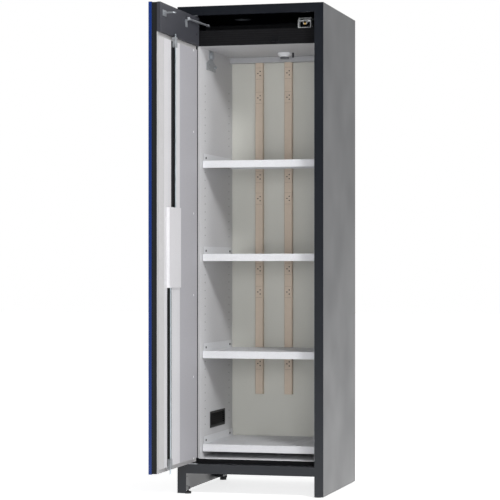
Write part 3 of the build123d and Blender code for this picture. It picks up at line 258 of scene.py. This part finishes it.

# %% [markdown]
# ## Plastics and strips
# Moulded plastic copies the etched grain of its mould, half a millimetre across, and
# has a soft sheen. The black strips that swell in a fire are pressed from graphite and
# binder, so they are matt and slightly mottled. The door's fire board is raw mineral
# board, pale and grainy. The boards round the chamber are painted near black: painted
# shade for the dark recess where their tops show.

# %% Moulded plastic and pressed strip
def moulded(name, code, roughness, grain=0.6, mottle=0.06, depth=0.03, gloss=0.5):
    """Colour = tint x mottle by soft noise; normal = etched grain, its size in mm."""
    material, tree, shader, place = start(name)
    soft = add(tree, "ShaderNodeTexNoise", Vector=place, Scale=1 / (22 * mm), Detail=4.0)
    etched = add(tree, "ShaderNodeTexNoise", Vector=place, Scale=1 / (grain * mm), Detail=1.0)
    tint = np.array(linear(code))
    shade = add(tree, "ShaderNodeMix", {"data_type": "RGBA"}, Factor=soft.outputs["Fac"],
                _6=(*(tint[:3] * (1 - mottle)), 1), _7=(*np.minimum(tint[:3] * (1 + mottle), 1), 1))
    tree.links.new(shade.outputs[2], shader.inputs["Base Color"])
    dull = add(tree, "ShaderNodeMapRange", Value=etched.outputs["Fac"], From_Min=0.3, From_Max=0.7,
               To_Min=roughness * 0.92, To_Max=min(1.0, roughness * 1.08))
    tree.links.new(dull.outputs[0], shader.inputs["Roughness"])
    bump = add(tree, "ShaderNodeBump", Height=etched.outputs["Fac"], Strength=0.4,
               Distance=depth * mm)
    tree.links.new(bump.outputs[0], shader.inputs["Normal"])
    shader.inputs["Specular IOR Level"].default_value = gloss
    return material


# Real on the fire seals; in the lock groove the same black is painted shade.
swelling_strip_and_groove_shade = moulded("swelling_strip_and_groove_shade", "#151517", 0.8, grain=1.2, mottle=0.18, depth=0.08,
                         gloss=0.3)
edge_strip = moulded("edge_strip", "#1d1e1f", 0.65, grain=1.0, mottle=0.15, depth=0.06, gloss=0.3)
mineral_board = moulded("mineral_board", "#b9b5a8", 0.9, grain=1.5, mottle=0.15, depth=0.2,
                        gloss=0.2)
# Near black: painted shade where the boards' tops show in the dark recess.
board_painted_shade = moulded("board_painted_shade", "#1a1a1c", 0.8, grain=1.5, mottle=0.15, depth=0.1,
                        gloss=0.15)
grille_plastic = moulded("grille_plastic", "#151516", 0.5)
socket_plastic = moulded("socket_plastic", "#d2c2b1", 0.42, mottle=0.05)
duct_plastic = moulded("duct_plastic", "#b4b5b8", 0.45, mottle=0.03)
detector_plastic = moulded("detector_plastic", "#f7f8fa", 0.4, mottle=0.02)
chamber_plastic = moulded("chamber_plastic", "#77797d", 0.5)
gland_plastic = moulded("gland_plastic", "#7d8083", 0.45)
guide_plastic = moulded("guide_plastic", "#8d9093", 0.45)
handle_plastic = moulded("handle_plastic", "#1d1f22", 0.38)
foot_rubber = moulded("foot_rubber", "#202021", 0.6)
# Near-black paint for holes and recesses: painted shade of their depth.
painted_hole_shade = moulded("painted_hole_shade", "#17171a", 0.8)
joint_brown = moulded("joint_brown", "#7d7061", 0.6)
print("materials", len(bpy.data.materials))

# %% [markdown]
# ## Dressing the model's nodes
# A node whose shape is right keeps it and only gets its finish. The table says which
# finish each piece of the real cabinet has.

# %% Finish of each node
finishes = {
    casing_paint: ("side_panel_left", "side_panel_right", "roof_panel", "rear_panel", "plinth_beam",
                   "base_pan", "foot_brackets"),
    cover_paint: ("door_top_cover",),
    door_blue: ("door_outer_panel",),
    keeper_black: ("rod_keeper",),
    wall_paint: ("liner_left", "liner_right", "liner_ceiling"),
    rear_paint_lightened: ("liner_rear",),
    floor_paint: ("liner_floor",),
    shelf_paint: ("shelf_1", "shelf_2", "shelf_3", "shelf_4"),
    rim_paint_with_shade: ("door_inner_liner",),
    board_paint: ("door_board",),
    profile_paint: ("lock_profiles", "lock_case_cover"),
    screw_paint: ("door_screws",),
    zinc_plate: ("hinge_brackets", "hinge_blocks", "stay_arm", "stay_bracket", "door_hook",
                 "lock_case", "damper_plate"),
    dark_zinc: ("shelf_pegs",),
    black_zinc: ("stay_rail",),
    bright_zinc: ("latch_body", "latch_lever"),
    brass: ("latch_roller",),
    drawn_steel: ("upper_rod", "lower_rod"),
    machined_steel: ("handle_spindle",),
    nickel_plate: ("lock_cylinder", "lock_plug"),
    spigot_zinc: ("exhaust_spigot",),
    swelling_strip_and_groove_shade: ("fire_seals",),
    edge_strip: ("door_edge_band",),
    mineral_board: ("door_core",),
    board_painted_shade: ("insulation_boards",),
    grille_plastic: ("vent_grille",),
    socket_plastic: ("socket_strip_left", "socket_strip_right"),
    duct_plastic: ("cable_duct",),
    detector_plastic: ("smoke_detector_base",),
    chamber_plastic: ("smoke_detector_chamber",),
    gland_plastic: ("cable_gland",),
    guide_plastic: ("rod_guides",),
    handle_plastic: ("handle_plate", "handle_lever"),
    foot_rubber: ("foot_front_left", "foot_front_right", "foot_rear_left", "foot_rear_right"),
}
for material, names in finishes.items():
    for name in names:
        for place in nodes[name].material_slots:
            place.material = material
dressed = {name for names in finishes.values() for name in names}
print("dressed", len(dressed), "left", sorted(set(nodes) - dressed))

# %% [markdown]
# ## Making surfaces with numpy
# New pieces are points worked out as whole arrays. A turned piece is a profile of
# radius and height carried round an axis; its points are one array over angle and
# profile. Small pieces that repeat are one shape added to an array of places.

# %% Surface helpers
def solid(name, points, faces, material, body, angle=35.0):
    """Mesh from arrays: doubles merged, faces turned outwards, smooth up to the angle."""
    mesh = bpy.data.meshes.new(name)
    points = np.asarray(points, float).reshape(-1, 3)
    mesh.from_pydata(points.tolist(), [], [list(f) for f in faces])
    work = bmesh.new()
    work.from_mesh(mesh)
    bmesh.ops.remove_doubles(work, verts=work.verts, dist=1e-6)
    bmesh.ops.recalc_face_normals(work, faces=work.faces)
    work.to_mesh(mesh)
    work.free()
    mesh.polygons.foreach_set("use_smooth", np.ones(len(mesh.polygons), bool))
    mesh.set_sharp_from_angle(angle=radians(angle))
    piece = bpy.data.objects.new(name, mesh)
    bpy.context.scene.collection.objects.link(piece)
    mesh.materials.append(material)
    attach(piece, body)
    return piece


def grid_faces(rows, columns, wrap):
    """Four-sided faces of a grid; wrap joins the last column to the first."""
    steps = np.arange(columns if wrap else columns - 1)
    r, c = np.meshgrid(np.arange(rows - 1), steps, indexing="ij")
    n = (c + 1) % columns
    this_row, next_row = r * columns, (r + 1) * columns
    quads = np.stack([this_row + c, this_row + n, next_row + n, next_row + c], -1)
    return quads.reshape(-1, 4)


def turned(profile, axis, count=20):
    """P(i, t) = axis x h(i) + r(i) x (u cos t + v sin t), for profile points (r, h) in mm."""
    axis = np.array(axis, float)
    u = np.cross(axis, (0, 0, 1) if abs(axis[2]) < 0.9 else (1, 0, 0))
    u /= np.linalg.norm(u)
    v = np.cross(axis, u)
    r, h = np.array(profile, float).T * mm
    t = np.linspace(0, 2 * np.pi, count, endpoint=False)
    ring = u * np.cos(t)[:, None] + v * np.sin(t)[:, None]
    points = h[:, None, None] * axis + r[:, None, None] * ring
    return points.reshape(-1, 3), grid_faces(len(r), count, True)


def repeated(shape, places):
    """The shape's points plus each place, with the faces counted on."""
    points, faces = shape
    places = np.asarray(places, float).reshape(-1, 3)
    steps = (np.arange(len(places)) * len(points))[:, None, None]
    return (places[:, None] + points).reshape(-1, 3), (steps + faces).reshape(-1, faces.shape[-1])


def dome(radius, height, start_height=0.0, steps=5):
    """Profile of a low dome: r = R cos a, h = H sin a, for a from 0 to 90 degrees."""
    a = np.linspace(0, np.pi / 2, steps)
    return [(0, start_height), *zip(radius * np.cos(a), start_height + height * np.sin(a))]


print("surface helpers ready")

# %% [markdown]
# ## Rows of shelf holes
# Both side walls have rows of round holes at a pitch of 32 mm, so the shelves can be
# hung at any height. Cutting hundreds of holes would make the walls heavy. Each hole is
# a small dark cup with a rolled rim instead, a fifth of a millimetre proud of the wall,
# which reads as a hole at any distance at which the wall is seen. The cup's near black
# is painted shade: it stands for the shade deep inside a real hole.

# %% Shelf holes
peg_head_radius = 4.5 * mm
peg_over_lip = 42 * mm  # a shelf's lowest edge to the middle of its pegs
hole_pitch = 32 * mm
hole_free_top = 140 * mm  # the rows end this far under the ceiling
shelf_room = 31 * mm  # no hole is drawn this near to a shelf's upper edge
grille_room = 4 * mm
rows_y = (peg_low[1] + peg_head_radius, peg_high[1] - peg_head_radius)
lowest_hole = box("shelf_1")[0][2] + peg_over_lip
levels = np.arange(lowest_hole, ceiling - hole_free_top, hole_pitch)
taken = [box(f"shelf_{i}")[1][2] for i in range(1, 5)]
levels = np.array([z for z in levels if all(abs(z - top) > shelf_room for top in taken)])
grille_low, grille_high = box("vent_grille")
for wall, way, title in ((wall_left, 1, "left"), (wall_right, -1, "right")):
    places = np.array([(wall, y, z) for y in rows_y for z in levels])
    if way == 1:
        low, high = grille_low[1:] - grille_room, grille_high[1:] + grille_room
        places = places[((places[:, 1:] < low) | (places[:, 1:] > high)).any(axis=1)]
    cup = turned([(0, 0.12), (2.1, 0.12), (2.3, 0.2), (2.7, 0.02), (0, 0.01)], (way, 0, 0), 12)
    solid(f"shelf_holes_{title}", *repeated(cup, places), painted_hole_shade, "cabinet")
    print(title, "wall holes", len(places))

# %% [markdown]
# ## Smoke detector
# The detector's housing is a white puck with a soft rounded rim, pressed onto a flat
# base. The model's stepped puck is right in size, so the turned one keeps its radius
# and height and rounds its edge with a quarter circle. A small dark clip beside it holds
# the detector's lead at the ceiling.

# %% Detector housing and lead clip
low, high = box("smoke_detector_base")
middle = np.array([(low[0] + high[0]) / 2, (low[1] + high[1]) / 2, high[2]])
radius, depth = (high[0] - low[0]) / 2 / mm, (high[2] - low[2]) / mm
a = np.linspace(0, np.pi / 2, 7)
edge = zip(radius - 7 + 7 * np.cos(a), 5 + 6 * np.sin(a))
rim = [(radius - 1.5, 0), (radius - 1.5, 2.5), (radius, 3), *edge]
profile = [(0, 0), *rim, (21.5, 11.2), (20.5, 12), (20.5, depth), (0, depth)]
points, faces = turned(profile, (0, 0, -1), 64)
housing = solid("detector_housing", points + middle, faces, detector_plastic, "cabinet")
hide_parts("smoke_detector_base")


def slab(low, high, edge=0.6):
    """Box with chamfered edges in mm: each corner gives three points, P = middle +
    sign x (half - edge), with the edge left out along one axis in turn."""
    low, high = np.array(low, float), np.array(high, float)
    signs = np.stack(np.meshgrid((-1, 1), (-1, 1), (-1, 1), indexing="ij"), -1).reshape(8, 3)
    half = (high - low) / 2 - (1 - np.eye(3)) * edge * mm
    points = ((low + high) / 2 + signs * half[:, None]).reshape(-1, 3)
    return points, CHAMFERED


def chamfered_faces():
    """Faces that every slab shares, found once as the convex hull of its 24 points."""
    signs = np.stack(np.meshgrid((-1, 1), (-1, 1), (-1, 1), indexing="ij"), -1).reshape(8, 3)
    points = (signs * (np.ones((3, 3)) + np.eye(3))[:, None]).reshape(-1, 3)
    work = bmesh.new()
    for point in points.tolist():
        work.verts.new(point)
    work.verts.index_update()
    bmesh.ops.convex_hull(work, input=work.verts)
    bmesh.ops.triangulate(work, faces=work.faces)
    faces = np.array([[v.index for v in f.verts] for f in work.faces])
    work.free()
    return faces


CHAMFERED = chamfered_faces()
clip_half = np.array([3.0, 4.0]) * mm
clip_drop = 20 * mm
clip_middle = middle[:2] + np.array([36.0, 0.0]) * mm
clip = slab((*(clip_middle - clip_half), ceiling - clip_drop), (*(clip_middle + clip_half), ceiling))
solid("lead_clip", *clip, handle_plastic, "cabinet")
print("detector radius", round(radius, 1), "mm")

# %% [markdown]
# ## Sockets
# Each socket of the power strips has three round holes over its contacts. The model has
# the holes; a black cup in each one is painted shade for the dark deep in a socket, where
# light that enters doesn't come back. Fine joints above and below each socket show that a
# strip is a row of clipped modules.

# %% Socket cups and module joints
cup_profile = [(0, -7.6), (2.0, -7.6), (2.0, 0.2), (2.7, 0.2), (2.7, 0.02), (2.15, 0.02),
               (2.15, -7.8), (0, -7.8)]
joint_reach = 24.0 * mm  # a socket's middle to the joints above and below it
joint_margin = 2.2 * mm
spread = np.array([(-5.0, 0, 0), (5.0, 0, 8.7), (5.0, 0, -8.7)]) * mm
socket_z = np.array([501, 805, 903, 1201, 1293, 1629, 1732]) * mm
cup = turned(cup_profile, (0, -1, 0), 12)
for side in ("left", "right"):
    low, high = box(f"socket_strip_{side}")
    centre = (low[0] + high[0]) / 2
    places = np.array([(centre, low[1], z) for z in socket_z])
    solid(f"socket_cups_{side}", *repeated(cup, places[:, None] + spread), painted_hole_shade, "cabinet")
    half = (high[0] - low[0]) / 2 - joint_margin
    line = slab((-half, -0.1 * mm, -0.35 * mm), (half, 0.2 * mm, 0.35 * mm), 0.05)
    joints = places[:, None] + np.array([(0, 0, -joint_reach), (0, 0, joint_reach)])
    solid(f"module_joints_{side}", *repeated(line, joints), joint_brown, "cabinet")
print("sockets", 2 * len(socket_z))

# %% [markdown]
# ## Lock groove
# The lock's rods run in a groove of the door's inner side. The groove's floor and sides
# lie in deep shade there, so three thin black strips on them are painted shade, with the
# rod bright before them.

# %% Painted shade in the lock groove
low, high = box("lock_profiles")
profile_sheet, shade_strip_sheet = 1.5 * mm, 0.4 * mm
end_gap, face_gap = 0.5 * mm, 0.3 * mm
floor_x, face_x = low[0] + profile_sheet, high[0] - face_gap
spindle_low, spindle_high = box("handle_spindle")
axis_y = (spindle_low[1] + spindle_high[1]) / 2
cover_low, cover_high = box("lock_case_cover")
# The sides of each groove, counted along Y from the handle's axis.
for title, sides, bottom, top in (
        ("upper", (-18.0, 47.0), cover_high[2] + end_gap, high[2]),
        ("lower", (-70.0, -12.0), low[2], cover_low[2] - end_gap)):
    # The three strips are painted shade: they darken the groove's floor and both sides.
    near, far = axis_y + np.array(sides) * mm
    strips = [slab((floor_x, near, bottom), (floor_x + shade_strip_sheet, far, top), 0.05),
              slab((floor_x, near, bottom), (face_x, near + shade_strip_sheet, top), 0.05),
              slab((floor_x, far - shade_strip_sheet, bottom), (face_x, far, top), 0.05)]
    points = np.concatenate([part[0] for part in strips])
    faces = np.concatenate([CHAMFERED + 24 * i for i in range(3)])
    solid(f"groove_painted_shade_{title}", points, faces, swelling_strip_and_groove_shade, "door")
print("groove linings", 2)

# %% [markdown]
# ## Screws
# White-headed screws hold the door's grey board, bright zinc ones the hinge plate, plain
# zinc ones the roof's collar, and blackened ones the rear wall. A pan head is a low dome
# with a small flat and a cross recess. The recess is two crossed dark bars of painted
# shade, the shade of a real recess, since it only has to catch the eye.

# %% Screw heads
def screws(title, places, way, radius, height, material, body, replaces=None):
    """Domes r = R cos a, h = H sin a on a collar, each with a cross of two dark bars of painted
    shade.
    """
    way = np.array(way, float)
    head = turned([(radius, 0), *dome(radius, height)[1:], (0, height)], way, 20)
    piece = solid(title, *repeated(head, places), material, body, 60)
    if replaces:
        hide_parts(replaces)
    across = np.cross(way, (0, 0, 1) if abs(way[2]) < 0.9 else (0, 1, 0))
    third = np.cross(way, across)
    bars = []
    for along, other in ((across, third), (third, across)):
        reach = np.abs(along) * radius * 0.5 * mm + np.abs(other) * radius * 0.1 * mm
        top = way * (height + 0.02) * mm
        low, high = -reach + top - np.abs(way) * 0.25 * mm, reach + top
        bars.append(slab(np.minimum(low, high), np.maximum(low, high), 0.02))
    for n, bar in enumerate(bars):
        solid(f"{title}_recess_{n + 1}", *repeated(bar, places), painted_hole_shade, body)
    return piece


low, high = box("door_screws")
middle_y = (low[1] + high[1]) / 2
radius = (high[1] - low[1]) / 2
levels = np.linspace(low[2] + radius, high[2] - radius, 6)
heads = np.array([(low[0], middle_y, z) for z in levels])
screws("door_screw_heads", heads, (1, 0, 0), radius / mm, (high[0] - low[0]) / mm, screw_paint,
       "door", "door_screws")

low, high = box("hinge_brackets")
plate_top = low[2] + 3 * mm
insets = np.array([10.0, 24.0]) * mm
heads = np.array([(high[0] - inset, (low[1] + high[1]) / 2, plate_top) for inset in insets])
screws("hinge_screw_heads", heads, (0, 0, 1), 3.2, 1.4, bright_zinc, "cabinet")

low, high = box("rear_panel")
side_inset, low_inset, high_inset = 45 * mm, 30 * mm, 50 * mm
heads = np.array([(x, high[1], z) for x in (low[0] + side_inset, 0.0, high[0] - side_inset)
                  for z in np.linspace(low[2] + low_inset, high[2] - high_inset, 7)])
screws("rear_screw_heads", heads, (0, 1, 0), 4.0, 1.2, black_zinc, "cabinet")

low, high = box("exhaust_spigot")
flange_top = 2 * mm + low[2]
corner_inset = 7 * mm
heads = np.array([(x, y, flange_top) for x in (low[0] + corner_inset, high[0] - corner_inset)
                  for y in (low[1] + corner_inset, high[1] - corner_inset)])
screws("collar_screw_heads", heads, (0, 0, 1), 3.2, 1.6, zinc_plate, "cabinet")
print("screw heads ready")

# %% [markdown]
# ## Hole in the door's top cover
# The door's dark top cover has one round hole near the hinge, through which the stay's
# screw is reached. A dark cup of painted shade stands for it, as for the shelf holes.

# %% Hole in the door's top cover
low, high = box("door_top_cover")
hole = turned([(0, 0.12), (3.6, 0.12), (3.9, 0.2), (4.3, 0.02), (0, 0.01)], (1, 0, 0), 20)
hole_place = (high[0], high[1] - 35 * mm, low[2] + 43 * mm)
solid("cover_hole", *repeated(hole, [hole_place]), painted_hole_shade, "door")
print("cover hole at", [round(v, 3) for v in hole_place])

# %% [markdown]
# ## Floor and background
# The cabinet stands on a plain pale floor in front of white. The background is white
# only for rays that come from the camera, from a mirror or through glass, so it lights
# the paint less than the lamps do. Mirror rays that leave towards the camera's side find
# a dark studio, as glossy paint does in a studio whose walls are far off.

# %% Floor and background
def backdrop(name, base):
    """Floor paint that the camera sees as near white but that takes the shadow; for mirror rays it
    glows as a painted pool of light near the cabinet.
    """
    material, tree, shader, place = start(name)
    speck = add(tree, "ShaderNodeTexNoise", Vector=place, Scale=4.0, Detail=3.0)
    tint = np.array(linear(base))
    shade = add(tree, "ShaderNodeMix", {"data_type": "RGBA"}, Factor=speck.outputs["Fac"],
                _6=(*(tint[:3] * 0.985), 1), _7=(*tint[:3], 1))
    tree.links.new(shade.outputs[2], shader.inputs["Base Color"])
    shader.inputs["Roughness"].default_value = 0.7
    shader.inputs["Emission Color"].default_value = (1, 1, 1, 1)
    path = add(tree, "ShaderNodeLightPath")
    seen = add(tree, "ShaderNodeMath", {"operation": "MAXIMUM"}, _0=path.outputs["Is Camera Ray"],
               _1=path.outputs["Is Glossy Ray"])
    far = add(tree, "ShaderNodeSeparateXYZ", Vector=place)
    # For mirror rays the floor glows, brightest near the cabinet and dim far in front: a painted
    # pool of light that the dark paint reflects.
    painted_reflection_pool = add(tree, "ShaderNodeMapRange", Value=far.outputs["Y"], From_Min=-3.5, From_Max=-1.2,
               To_Min=0.1, To_Max=1.0)
    level = add(tree, "ShaderNodeMix", {"data_type": "FLOAT"}, Factor=path.outputs["Is Camera Ray"],
                _2=painted_reflection_pool.outputs[0], _3=0.76)
    glow = add(tree, "ShaderNodeMath", {"operation": "MULTIPLY"}, _0=seen.outputs[0],
               _1=level.outputs[0])
    tree.links.new(glow.outputs[0], shader.inputs["Emission Strength"])
    return material


floor_points = np.array([(-30, -30, 0), (30, -30, 0), (30, 30, 0), (-30, 30, 0)], float)
floor_mesh = bpy.data.meshes.new("studio_floor")
floor_mesh.from_pydata(floor_points.tolist(), [], [(0, 1, 2, 3)])
floor = bpy.data.objects.new("studio_floor", floor_mesh)
bpy.context.scene.collection.objects.link(floor)
floor_mesh.materials.append(backdrop("pale_floor", "#fbfbfb"))

world = bpy.data.worlds.new("studio")
bpy.context.scene.world = world
world.use_nodes = True
tree = world.node_tree
back = tree.nodes["Background"]
path = add(tree, "ShaderNodeLightPath")
seen = add(tree, "ShaderNodeMath", {"operation": "MAXIMUM"}, _0=path.outputs["Is Camera Ray"],
           _1=path.outputs["Is Glossy Ray"])
seen = add(tree, "ShaderNodeMath", {"operation": "MAXIMUM"}, _0=seen.outputs[0],
           _1=path.outputs["Is Transmission Ray"])
heading = add(tree, "ShaderNodeTexCoord").outputs["Generated"]
way = add(tree, "ShaderNodeSeparateXYZ", Vector=heading)
studio = add(tree, "ShaderNodeMapRange", Value=way.outputs["Y"], From_Min=-0.45, From_Max=0.35,
             To_Min=0.04, To_Max=1.0)
dusk = add(tree, "ShaderNodeMapRange", Value=way.outputs["Z"], From_Min=0.0, From_Max=0.2,
           To_Min=1.0, To_Max=0.72)
studio = add(tree, "ShaderNodeMath", {"operation": "MULTIPLY"}, _0=studio.outputs[0],
             _1=dusk.outputs[0])
plain = add(tree, "ShaderNodeMath", {"operation": "MAXIMUM"}, _0=studio.outputs[0],
            _1=path.outputs["Is Camera Ray"])
level = add(tree, "ShaderNodeMix", {"data_type": "FLOAT"}, Factor=seen.outputs[0], _2=0.24,
            _3=plain.outputs[0])
tree.links.new(level.outputs[0], back.inputs["Strength"])
back.inputs["Color"].default_value = (1, 1, 1, 1)
print("background set")

# %% [markdown]
# ## Lamps
# Three soft lamps do the work of a photo studio. A broad one in front fills the lined
# space, a small one high in front and to the right throws the slanting shades of the
# ceiling and the shelves on the left wall, and one at the right lights the side panel.
# The two in front aren't mirrored in the dark paint, so the posts stay dark.

# %% Lamps
def lamp(name, place, target, size, power):
    """Square area lamp turned towards a point."""
    light = bpy.data.lights.new(name, "AREA")
    light.size = size
    light.energy = power
    piece = bpy.data.objects.new(name, light)
    bpy.context.scene.collection.objects.link(piece)
    piece.location = place
    piece.rotation_euler = (Vector(target) - Vector(place)).to_track_quat("-Z", "Y").to_euler()
    return piece


front_lamp = lamp("front_lamp", (1.6, -7.0, 0.9), (0, 0, 1.0), 3.0, 225)
right_lamp = lamp("right_lamp", (5.0, -1.6, 1.6), (-0.2, -0.3, 1.0), 2.0, 80)
high_lamp = lamp("high_lamp", (3.8, -4.5, 4.2), (0, 0, 1.2), 1.1, 225)
for piece in (front_lamp, high_lamp):
    piece.visible_glossy = False
bpy.context.scene.view_settings.view_transform = "Standard"
